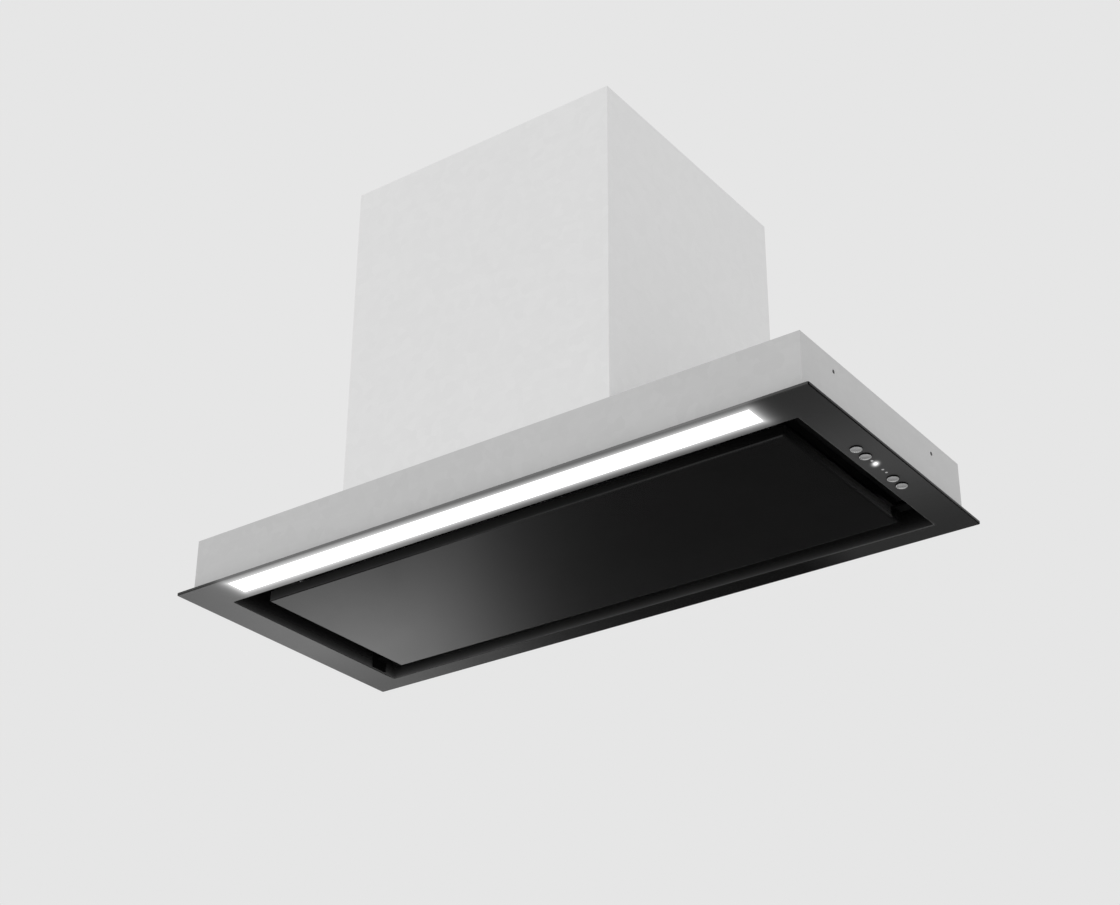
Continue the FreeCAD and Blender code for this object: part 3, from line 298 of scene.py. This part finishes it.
def frame_enamel():
    # Satin black powder coat. Painted light makes it a little paler on the folded walls near
    # the face, with painted highlights on the right margin and along the rear fold. Painted shade
    # makes it duller on the rear margin and black on the outer edges. A painted glow spreads on it
    # round the lamp and the lit dot.
    material, tree, shader = new_material("frame_enamel")
    place = object_coords(tree)
    gloss(tree, shader, place, rough=0.22, spread=0.01, grain=1400.0, depth=0.00002)
    shader.inputs["IOR"].default_value = 1.57
    x, y, z = axes(tree, place)
    depth = minus(tree, z, FACE_Z)
    side = maths(tree, "ABSOLUTE", x)
    along = maths(tree, "ABSOLUTE", minus(tree, y, OPENING_Y))
    inside = times(
        tree, maths(tree, "LESS_THAN", side, OPENING_HALF[0]),
        maths(tree, "LESS_THAN", along, OPENING_HALF[1]))
    folded = times(tree, ranged(tree, depth, 0.0, 1.0, over=FRAME_FOLD), inside)
    flat = minus(tree, 1.0, folded)
    # Painted shade: the outer edges turn black, as metal of a near-black colour.
    shaded_edge = maths(tree, "GREATER_THAN", side, SIDE_EDGE)

    # Painted light on the opening's walls, paler towards the left and the rear, and a painted
    # highlight on the line of the rear fold.
    lean = times(
        tree, ranged(tree, x, 1.8, 0.0, over=OPENING_SPAN_X),
        ranged(tree, y, 0.1, 1.0, over=OPENING_SPAN_Y))
    painted_wall_light = times(tree, glow(tree, depth, peak=0.045, reach=0.006), plus(tree, lean, 1.0))
    painted_wall_light = times(tree, folded, painted_wall_light)
    rear_fold = times(tree, inside, maths(tree, "GREATER_THAN", y, REAR_WALL_Y))
    painted_fold_highlight = halo(tree, minus(tree, depth, 0.0004), peak=0.045, reach=0.0005)
    painted_wall_light = plus(tree, painted_wall_light, times(tree, rear_fold, painted_fold_highlight))

    # A painted highlight on the right margin, palest at its middle.
    painted_margin_highlight = plus(tree, halo(tree, plus(tree, y, 0.01), peak=0.046, reach=0.10), 0.020)
    painted_margin_highlight = times(tree, painted_margin_highlight, ranged(tree, x, 0.0, 1.0, over=(0.17, 0.27)))
    painted_margin_highlight = times(tree, painted_margin_highlight, flat)
    painted_frame_light = times(tree, plus(tree, painted_wall_light, painted_margin_highlight), minus(tree, 1.0, shaded_edge))
    coat(tree, shader, place, 0.004, 0.006, painted_frame_light)

    # Painted shade: the rear margin reflects less, most of all right of its middle and at its left
    # end.
    rear = times(
        tree, ranged(tree, x, 0.60, 0.85, over=(-0.05, 0.12)),
        ranged(tree, x, 1.0, 0.0, over=(0.20, 0.26)))
    rear = times(tree, rear, ranged(tree, y, 0.0, 1.0, over=(0.03, 0.155)))
    rear_left = times(
        tree, ranged(tree, y, 0.0, 0.85, over=(0.02, 0.155)),
        ranged(tree, x, 1.0, 0.0, over=(-0.24, -0.10)))
    painted_reflection_shade = times(tree, maths(tree, "MAXIMUM", rear, rear_left), flat)
    tree.links.new(maths(tree, "MAXIMUM", shaded_edge, painted_reflection_shade), shader.inputs["Metallic"])

    # A painted glow in the coat's own emission round the lamp and the lit dot; the dot's glow is
    # stretched along the camera's yaw.
    lamp_distance = rectangle_distance(tree, place, LAMP_HALF, LAMP_Y, FACE_Z)
    dot_distance = slanted_distance(tree, place, LIT_DOT, CAMERA_YAW, 1.5)
    lamp = glow(tree, lamp_distance, peak=0.75, reach=0.0052)
    painted_dot_glow = halo(tree, dot_distance, peak=1.4, reach=0.0027)
    tree.links.new(plus(tree, lamp, painted_dot_glow), shader.inputs["Emission Strength"])
    shader.inputs["Emission Color"].default_value = WHITE
    return material


def panel_enamel():
    # The panel's coat. Painted light makes it paler on the folded sides away from the front right
    # corner, with a painted highlight along the front fold; painted shade makes it duller at the
    # front left corner and on the right fold.
    material, tree, shader = new_material("panel_enamel")
    place = object_coords(tree)
    gloss(tree, shader, place, rough=0.20, spread=0.01, grain=1800.0, depth=0.000008)
    x, y, z = axes(tree, place)
    depth = minus(tree, z, PANEL_Z)
    folded = ranged(tree, depth, 0.0, 1.0, over=PANEL_FOLD)

    # Painted light on the folded sides, and a painted highlight along the front fold.
    left = times(tree, minus(tree, PANEL_CORNER[0], x), 1.5)
    back = times(tree, minus(tree, y, PANEL_CORNER[1]), 4.0)
    away = maths(tree, "MINIMUM", plus(tree, left, back), 1.3)
    painted_wall_light = times(tree, times(tree, folded, away), glow(tree, depth, peak=0.075, reach=0.012))
    front = maths(tree, "LESS_THAN", y, PANEL_FRONT_WALL_Y)
    painted_fold_highlight = halo(tree, minus(tree, depth, 0.0006), peak=0.012, reach=0.0007)
    coat(tree, shader, place, 0.0040, 0.0055, plus(tree, painted_wall_light, times(tree, front, painted_fold_highlight)))

    # Painted shade: the right fold and the front left corner reflect less.
    shaded_right_fold = times(
        tree, maths(tree, "GREATER_THAN", x, PANEL_RIGHT_WALL_X),
        ranged(tree, depth, 0.85, 0.0, over=(0.0010, 0.0016)))
    slope = plus(tree, x, times(tree, y, 0.8))
    painted_corner_shade = times(
        tree, ranged(tree, y, 0.88, 0.0, over=(-0.095, 0.06)),
        ranged(tree, slope, 1.0, 0.0, over=(-0.232, -0.132)))
    painted_corner_shade = times(tree, painted_corner_shade, minus(tree, 1.0, folded))
    tree.links.new(maths(tree, "MAXIMUM", shaded_right_fold, painted_corner_shade), shader.inputs["Metallic"])
    return material


def black_and_painted_shade():
    # Dull black: the rubber gasket's own colour, and painted shade on the small fittings in the
    # gap round the panel.
    material, tree, shader = grained(
        "black_and_painted_shade", grey(0.002), grey(0.004), rough=0.9, spread=0.05,
        grain=1000.0, depth=0.00008)
    shader.inputs["Specular IOR Level"].default_value = 0.1
    return material


def zinc_sheet(name, low, high):
    # Galvanised sheet: a faint spangle of crystals, rolling marks and slow shade changes.
    material, tree, shader = new_material(name)
    place = object_coords(tree)
    drift = add(tree, "ShaderNodeTexNoise")
    drift.inputs["Scale"].default_value = 60.0
    tree.links.new(place, drift.inputs["Vector"])
    small = add(tree, "ShaderNodeVectorMath", operation="SCALE")
    small.inputs["Scale"].default_value = 0.012
    tree.links.new(drift.outputs["Color"], small.inputs[0])
    warped = add(tree, "ShaderNodeVectorMath", operation="ADD")
    tree.links.new(place, warped.inputs[0])
    tree.links.new(small.outputs["Vector"], warped.inputs[1])
    spangle = cells(tree, warped.outputs["Vector"], 95.0)
    rolled = noise(tree, stretched(tree, place, (6.0, 6.0, 260.0)), 1.0, detail=4.0)
    slow = noise(tree, place, 3.0)
    mixed = plus(tree, times(tree, spangle, 0.40), times(tree, rolled, 0.25))
    mixed = plus(tree, mixed, times(tree, slow, 0.35))
    tree.links.new(ramp(tree, mixed, ((0.25, low), (0.75, high))), shader.inputs["Base Color"])
    tree.links.new(ranged(tree, spangle, 0.44, 0.56), shader.inputs["Roughness"])
    bump(tree, shader, rolled, 0.12, 0.0002)
    shader.inputs["IOR"].default_value = 1.35
    return material


def brushed(name, low, high, rough, scale, metallic=1.0):
    # Bare metal with brush lines and slow shade changes.
    material, tree, shader = new_material(name)
    place = object_coords(tree)
    lines = noise(tree, stretched(tree, place, scale), 1.0)
    slow = noise(tree, place, 12.0, detail=4.0)
    tree.links.new(ramp(tree, slow, ((0.3, low), (0.7, high))), shader.inputs["Base Color"])
    tree.links.new(ranged(tree, lines, rough - 0.08, rough + 0.08), shader.inputs["Roughness"])
    bump(tree, shader, lines, 0.2, 0.0001)
    shader.inputs["Metallic"].default_value = metallic
    return material


def opal_lamp():
    # Lit opal cover: full white, a trace less over the gaps between the chips behind it.
    material, tree, shader = new_material("opal_lamp")
    chip_pitch = 0.0275
    place = object_coords(tree)
    x = axes(tree, place)[0]
    wave = maths(tree, "COSINE", times(tree, x, math.tau / chip_pitch))
    strength = ranged(tree, wave, 1.02, 1.10, over=(-1.0, 1.0))
    tree.links.new(strength, shader.inputs["Emission Strength"])
    rough = ranged(tree, noise(tree, place, 40.0), 0.3, 0.4)
    tree.links.new(rough, shader.inputs["Roughness"])
    shader.inputs["Base Color"].default_value = (0.9, 0.9, 0.9, 1.0)
    shader.inputs["Emission Color"].default_value = WHITE
    return material


def indicator():
    # Clear light guides: the second one is lit, and a painted glow spreads from it into its
    # neighbours. All of them glow faintly.
    material, tree, shader = grained("indicator", grey(0.30), grey(0.36), rough=0.2, spread=0.05)
    guide_reach = 0.0020
    distance = point_distance(tree, object_coords(tree), LIT_DOT)
    lit = times(tree, maths(tree, "LESS_THAN", distance, guide_reach), 1.4)
    shade = plus(tree, plus(tree, lit, glow(tree, distance, peak=0.5, reach=0.006)), 0.12)
    tree.links.new(shade, shader.inputs["Emission Strength"])
    shader.inputs["Emission Color"].default_value = WHITE
    return material


def laminate():
    # Circuit board: green resist over a grid of tracks.
    material, tree, shader = new_material("laminate")
    place = object_coords(tree)
    grid = add(tree, "ShaderNodeTexBrick")
    grid.inputs["Scale"].default_value = 160.0
    grid.inputs["Mortar Size"].default_value = 0.03
    tree.links.new(place, grid.inputs["Vector"])
    green = ((0.0, (0.010, 0.055, 0.025)), (1.0, (0.030, 0.130, 0.060)))
    tree.links.new(ramp(tree, grid.outputs["Fac"], green), shader.inputs["Base Color"])
    rough = ranged(tree, noise(tree, place, 90.0), 0.3, 0.45)
    tree.links.new(rough, shader.inputs["Roughness"])
    bump(tree, shader, grid.outputs["Fac"], 0.3, 0.00005)
    return material


def chip_phosphor():
    material, tree, shader = grained(
        "chip_phosphor", (0.75, 0.6, 0.2), (0.85, 0.7, 0.3), rough=0.35, spread=0.05)
    shader.inputs["Emission Color"].default_value = (1.0, 0.95, 0.8, 1.0)
    shader.inputs["Emission Strength"].default_value = 1.0
    return material


def button_chrome():
    # Satin plating on the domed cap; its skirt is black, painted shade for the dark gap round it.
    material, tree, shader = new_material("button_chrome")
    place = object_coords(tree)
    smear = noise(tree, place, 240.0)
    tree.links.new(ranged(tree, smear, 0.18, 0.26), shader.inputs["Roughness"])
    z = axes(tree, place)[2]
    painted_skirt_shade = ranged(tree, z, 1.0, 0.02, over=(CAP_Z + 0.0008, CAP_Z + 0.0009))
    shade = ranged(tree, smear, 0.76, 0.86, over=(0.3, 0.7))
    tree.links.new(times(tree, shade, painted_skirt_shade), shader.inputs["Base Color"])
    bump(tree, shader, smear, 0.04, 0.00002)
    shader.inputs["Metallic"].default_value = 0.75
    return material


# Darkest and palest grey, roughness and its spread, scale of the grain and its depth.
PLAIN_COATS = {
    "inner_enamel": (0.010, 0.016, 0.5, 0.05, 1000.0, 0.00008),
    "black_plastic": (0.018, 0.030, 0.48, 0.06, 1600.0, 0.0001),
    "grey_plastic": (0.26, 0.32, 0.45, 0.06, 1200.0, 0.0001),
    "white_plastic": (0.66, 0.74, 0.35, 0.05, 900.0, 0.00006),
    "rubber": (0.020, 0.035, 0.75, 0.08, 700.0, 0.0002),
    "motor_paint": (0.05, 0.08, 0.5, 0.07, 500.0, 0.0002),
}
# Noise scales along the axes: the brush lines run where the scale is small.
BRUSHED_ALONG_X = (40.0, 900.0, 900.0)
BRUSHED_ACROSS_X = (900.0, 60.0, 60.0)


def make_materials():
    made = {
        "frame_enamel": frame_enamel(),
        "panel_enamel": panel_enamel(),
        "black_and_painted_shade": black_and_painted_shade(),
        # Painted shade: the lower casing is the same galvanised sheet as the tower, made darker.
        "shaded_casing_zinc": zinc_sheet("shaded_casing_zinc", grey(0.495), grey(0.53)),
        "tower_zinc": zinc_sheet("tower_zinc", grey(0.71), grey(0.74)),
        "aluminium": brushed("aluminium", grey(0.62), grey(0.72), 0.34, BRUSHED_ALONG_X, 0.7),
        # Painted shade: the filter frames are dark, as they lie in shade in the gap round the
        # panel.
        "painted_shade_aluminium": brushed("painted_shade_aluminium", grey(0.07), grey(0.09), 0.55, BRUSHED_ALONG_X),
        "steel": brushed("steel", grey(0.50), grey(0.60), 0.3, BRUSHED_ACROSS_X),
        "button_chrome": button_chrome(),
        "opal_lamp": opal_lamp(),
        "indicator": indicator(),
        "laminate": laminate(),
        "chip_phosphor": chip_phosphor(),
    }
    for name, (low, high, *finish) in PLAIN_COATS.items():
        made[name] = grained(name, grey(low), grey(high), *finish)[0]
    return made


MATERIAL_OF_SLOT = {
    "black_enamel": "inner_enamel",
    "zinc_sheet": "shaded_casing_zinc",
    "tower_sheet": "tower_zinc",
    "filter_aluminium": "aluminium",
    "button_chrome": "button_chrome",
    "lamp_opal": "opal_lamp",
    "indicator_clear": "indicator",
    "bright_steel": "steel",
    "black_plastic": "black_plastic",
    "grey_plastic": "grey_plastic",
    "circuit_board": "laminate",
    "lamp_chip": "chip_phosphor",
    "seal_rubber": "rubber",
    "motor_black": "motor_paint",
    "capacitor_can": "white_plastic",
}
# The filter frames and the small fittings in the gap round the panel take dark finishes that are
# painted shade; the gasket is black rubber.
OWN_MATERIAL = {
    "bottom_frame": "frame_enamel",
    "suction_panel": "panel_enamel",
    "filter_frame_left": "painted_shade_aluminium",
    "filter_frame_right": "painted_shade_aluminium",
    "flange_gasket": "black_and_painted_shade",
    "hinge_bracket_left": "black_and_painted_shade",
    "hinge_bracket_right": "black_and_painted_shade",
    "hinge_pins": "black_and_painted_shade",
    "panel_hinge_bosses": "black_and_painted_shade",
    "catch_plates": "black_and_painted_shade",
    "catch_magnets": "black_and_painted_shade",
    "magnet_brackets": "black_and_painted_shade",
}


def dress_nodes(made):
    slots = {part["node"]: part["material_slot"] for part in frame["record"]["subparts"]}
    for name, node in frame["nodes"].items():
        material = made[OWN_MATERIAL.get(name) or MATERIAL_OF_SLOT[slots[name]]]
        if not node.material_slots:
            node.data.materials.append(material)
        for slot in node.material_slots:
            slot.material = material


# Pieces

def new_piece(name, points, faces, material, smooth=True):
    mesh = bpy.data.meshes.new(name)
    mesh.from_pydata(points, [], faces)
    mesh.materials.append(material)
    for polygon in mesh.polygons:
        polygon.use_smooth = smooth
    mesh.update()
    piece = bpy.data.objects.new(name, mesh)
    bpy.context.scene.collection.objects.link(piece)
    return piece


def lathe(name, outline, centre, material, steps=72):
    # Turns a closed outline of (radius, height) pairs, which starts and ends on the axis.
    centre_x, centre_y = centre
    points = [(centre_x, centre_y, outline[0][1])]
    for radius, height in outline[1:-1]:
        for step in range(steps):
            turn = math.tau * step / steps
            points.append((
                centre_x + radius * math.cos(turn), centre_y + radius * math.sin(turn), height))
    points.append((centre_x, centre_y, outline[-1][1]))
    rings = len(outline) - 2
    faces = []
    for step in range(steps):
        after = (step + 1) % steps
        faces.append((0, 1 + after, 1 + step))
        for ring in range(rings - 1):
            base = 1 + ring * steps
            faces.append((base + step, base + after, base + steps + after, base + steps + step))
        base = 1 + (rings - 1) * steps
        faces.append((base + step, base + after, len(points) - 1))
    return new_piece(name, points, faces, material)


def button_outline():
    # A cap with a shallow dome, a rounded shoulder, a flange behind the plate and a stem.
    radius = 0.00585
    shoulder = 0.0003
    rim = radius - shoulder
    dome = 0.0006
    dome_steps = 10
    shoulder_steps = 5
    plate_top = -0.0018
    relief = 0.0002
    flange_radius = 0.0072
    flange_top = plate_top + 0.001
    stem_radius = 0.003
    stem_top = 0.0072
    outline = []
    for step in range(dome_steps + 1):
        share = step / dome_steps
        outline.append((rim * share, CAP_Z + dome * share * share))
    for step in range(1, shoulder_steps + 1):
        turn = math.pi / 2 * step / shoulder_steps
        outline.append((
            rim + shoulder * math.sin(turn),
            CAP_Z + dome + shoulder - shoulder * math.cos(turn)))
    outline += [
        (radius, plate_top - relief), (radius, plate_top), (flange_radius, plate_top),
        (flange_radius, flange_top), (stem_radius, flange_top), (stem_radius, stem_top),
        (0.0, stem_top)]
    return outline


def add_buttons(material):
    for number, y in enumerate(BUTTON_Y, 1):
        name = "button_cap_" + str(number)
        piece = lathe(name, button_outline(), (BUTTON_X, y), material)
        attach(piece, "button_" + str(number))
        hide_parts("button_" + str(number))


def strand_sheet(box, housing, z, pitch_x, phase):
    # One layer of expanded metal: zigzag strands, each touching the next at its points.
    x0, x1, y0, y1 = box
    rise = 0.0033
    half_width = 0.00055
    height = 0.0008
    section = (
        (-half_width, 0.0), (half_width, 0.0), (half_width, height), (-half_width, height))
    points = []
    faces = []
    rows = int((y1 - y0) / rise)
    columns = int((x1 - x0) / (pitch_x / 2))
    for row in range(rows):
        previous = None
        for column in range(columns + 1):
            x = x0 + column * pitch_x / 2
            y = y0 + row * rise + (rise if (column + row + phase) % 2 else 0.0)
            blocked = housing[0] < x < housing[1] and y < housing[2]
            if blocked or y > y1:
                previous = None
                continue
            start = len(points)
            points += [(x, y + dy, z + dz) for dy, dz in section]
            if previous is not None:
                for side in range(4):
                    after = (side + 1) % 4
                    faces.append((
                        previous + side, previous + after, start + after, start + side))
            previous = start
    return points, faces


def add_filter_meshes(material):
    # Both meshes come from the right filter's place. Its latch housing stays free of strands.
    inset_x = 0.0094
    inset_y = 0.0099
    housing_half = 0.0275
    housing_length = 0.0309
    layers = ((0.0002, 0.0105, 0), (0.0013, 0.0092, 1))
    low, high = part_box("filter_mesh_right")
    box = (low.x + inset_x, high.x - inset_x, low.y + inset_y, high.y - inset_y)
    middle = (low.x + high.x) / 2
    housing = (middle - housing_half, middle + housing_half, low.y + housing_length)
    for side, name in ((1, "right"), (-1, "left")):
        points = []
        faces = []
        for rise, pitch_x, phase in layers:
            more, more_faces = strand_sheet(box, housing, low.z + rise, pitch_x, phase)
            faces += [tuple(index + len(points) for index in face) for face in more_faces]
            points += more
        points = [(side * x, y, z) for x, y, z in points]
        if side < 0:
            faces = [tuple(reversed(face)) for face in faces]
        piece = new_piece("expanded_mesh_" + name, points, faces, material, smooth=False)
        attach(piece, "root")
        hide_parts("filter_mesh_" + name)


# Stage

def bare_material(name):
    material = bpy.data.materials.new(name)
    material.use_nodes = True
    material.node_tree.nodes.clear()
    return material, material.node_tree


def plane(name, half, z):
    corners = [(-half, -half, z), (half, -half, z), (half, half, z), (-half, half, z)]
    mesh = bpy.data.meshes.new(name)
    mesh.from_pydata(corners, [], [(0, 1, 2, 3)])
    made = bpy.data.objects.new(name, mesh)
    bpy.context.scene.collection.objects.link(made)
    return made


def seen_rays(tree):
    path = add(tree, "ShaderNodeLightPath")
    seen = maths(tree, "MAXIMUM", path.outputs["Is Camera Ray"], path.outputs["Is Glossy Ray"])
    return maths(tree, "MAXIMUM", seen, path.outputs["Is Transmission Ray"])


def add_floor():
    # White paper to the lamps, and mostly plain background to the camera, so its shadow stays.
    floor = plane("studio_floor", FLOOR_HALF, FLOOR_Z)
    material, tree = bare_material("floor_paper")
    paper = add(tree, "ShaderNodeBsdfDiffuse")
    shades = ((0.3, grey(0.78)), (0.7, grey(0.80)))
    mottled = ramp(tree, noise(tree, object_coords(tree), 0.8), shades)
    tree.links.new(mottled, paper.inputs["Color"])
    plain = add(tree, "ShaderNodeEmission")
    plain.inputs["Color"].default_value = BACKGROUND
    soft = add(tree, "ShaderNodeMixShader")
    soft.inputs["Fac"].default_value = PLAIN_SHARE
    tree.links.new(paper.outputs["BSDF"], soft.inputs[1])
    tree.links.new(plain.outputs["Emission"], soft.inputs[2])
    mix = add(tree, "ShaderNodeMixShader")
    tree.links.new(seen_rays(tree), mix.inputs["Fac"])
    tree.links.new(paper.outputs["BSDF"], mix.inputs[1])
    tree.links.new(soft.outputs["Shader"], mix.inputs[2])
    output = add(tree, "ShaderNodeOutputMaterial")
    tree.links.new(mix.outputs["Shader"], output.inputs["Surface"])
    floor.data.materials.append(material)


def add_reflector():
    # A studio card that only reflections see: grey, with a dark patch below the hood's mirror
    # image and a bright slanted streak to the left of it.
    card = plane("reflector_card", CARD_HALF, CARD_Z)
    material, tree = bare_material("reflector")
    place = object_coords(tree)
    streak = patch(tree, place, STREAK_CENTRE, STREAK_HALF, STREAK_SLANT)
    rest = ranged(tree, patch(tree, place, DARK_CENTRE, DARK_HALF), CARD_STRENGTH, 0.0)
    glare = add(tree, "ShaderNodeEmission")
    strength = plus(tree, times(tree, streak, STREAK_STRENGTH), rest)
    tree.links.new(strength, glare.inputs["Strength"])
    output = add(tree, "ShaderNodeOutputMaterial")
    tree.links.new(glare.outputs["Emission"], output.inputs["Surface"])
    card.data.materials.append(material)
    card.visible_camera = False
    card.visible_diffuse = False
    card.visible_transmission = False
    card.visible_volume_scatter = False
    card.visible_shadow = False


def add_world():
    world = bpy.data.worlds.new("studio")
    bpy.context.scene.world = world
    world.use_nodes = True
    tree = world.node_tree
    tree.nodes.clear()
    seen = add(tree, "ShaderNodeBackground")
    seen.inputs["Color"].default_value = BACKGROUND
    lit = add(tree, "ShaderNodeBackground")
    lit.inputs["Color"].default_value = WHITE
    lit.inputs["Strength"].default_value = WORLD_STRENGTH
    mix = add(tree, "ShaderNodeMixShader")
    tree.links.new(seen_rays(tree), mix.inputs["Fac"])
    tree.links.new(lit.outputs["Background"], mix.inputs[1])
    tree.links.new(seen.outputs["Background"], mix.inputs[2])
    output = add(tree, "ShaderNodeOutputWorld")
    tree.links.new(mix.outputs["Shader"], output.inputs["Surface"])


def add_lamp(name, place, target, size, power):
    data = bpy.data.lights.new(name, "AREA")
    data.size = size
    data.energy = power
    lamp = bpy.data.objects.new(name, data)
    lamp.location = place
    aim = Vector(target) - Vector(place)
    lamp.rotation_euler = aim.to_track_quat("-Z", "Y").to_euler()
    lamp.visible_glossy = False
    bpy.context.scene.collection.objects.link(lamp)


def add_camera():
    # The photograph's viewpoint, fitted to the edges of the frame, opening, lamp and panel.
    level = math.cos(CAMERA_PITCH)
    forward = Vector((
        math.sin(CAMERA_YAW) * level, math.cos(CAMERA_YAW) * level, math.sin(CAMERA_PITCH)))
    right = Vector((math.cos(CAMERA_YAW), -math.sin(CAMERA_YAW), 0.0))
    up = right.cross(forward)
    turned_right = right * math.cos(CAMERA_ROLL) + up * math.sin(CAMERA_ROLL)
    turned_up = up * math.cos(CAMERA_ROLL) - right * math.sin(CAMERA_ROLL)
    data = bpy.data.cameras.new("camera")
    data.sensor_width = 36.0
    data.lens = CAMERA_LENS
    data.clip_end = 200.0
    camera = bpy.data.objects.new("camera", data)
    turned = Matrix((turned_right, turned_up, -forward)).transposed().to_4x4()
    camera.matrix_world = Matrix.Translation(Vector(CAMERA_PLACE)) @ turned
    bpy.context.scene.collection.objects.link(camera)
    bpy.context.scene.camera = camera


made = make_materials()
dress_nodes(made)
add_buttons(made["button_chrome"])
add_filter_meshes(made["aluminium"])
add_floor()
add_reflector()
add_world()
add_lamp("key", (-1.6, -3.2, 1.2), (0.0, 0.0, 0.15), size=2.4, power=15.0)
add_camera()
bpy.context.scene.view_settings.view_transform = "Standard"
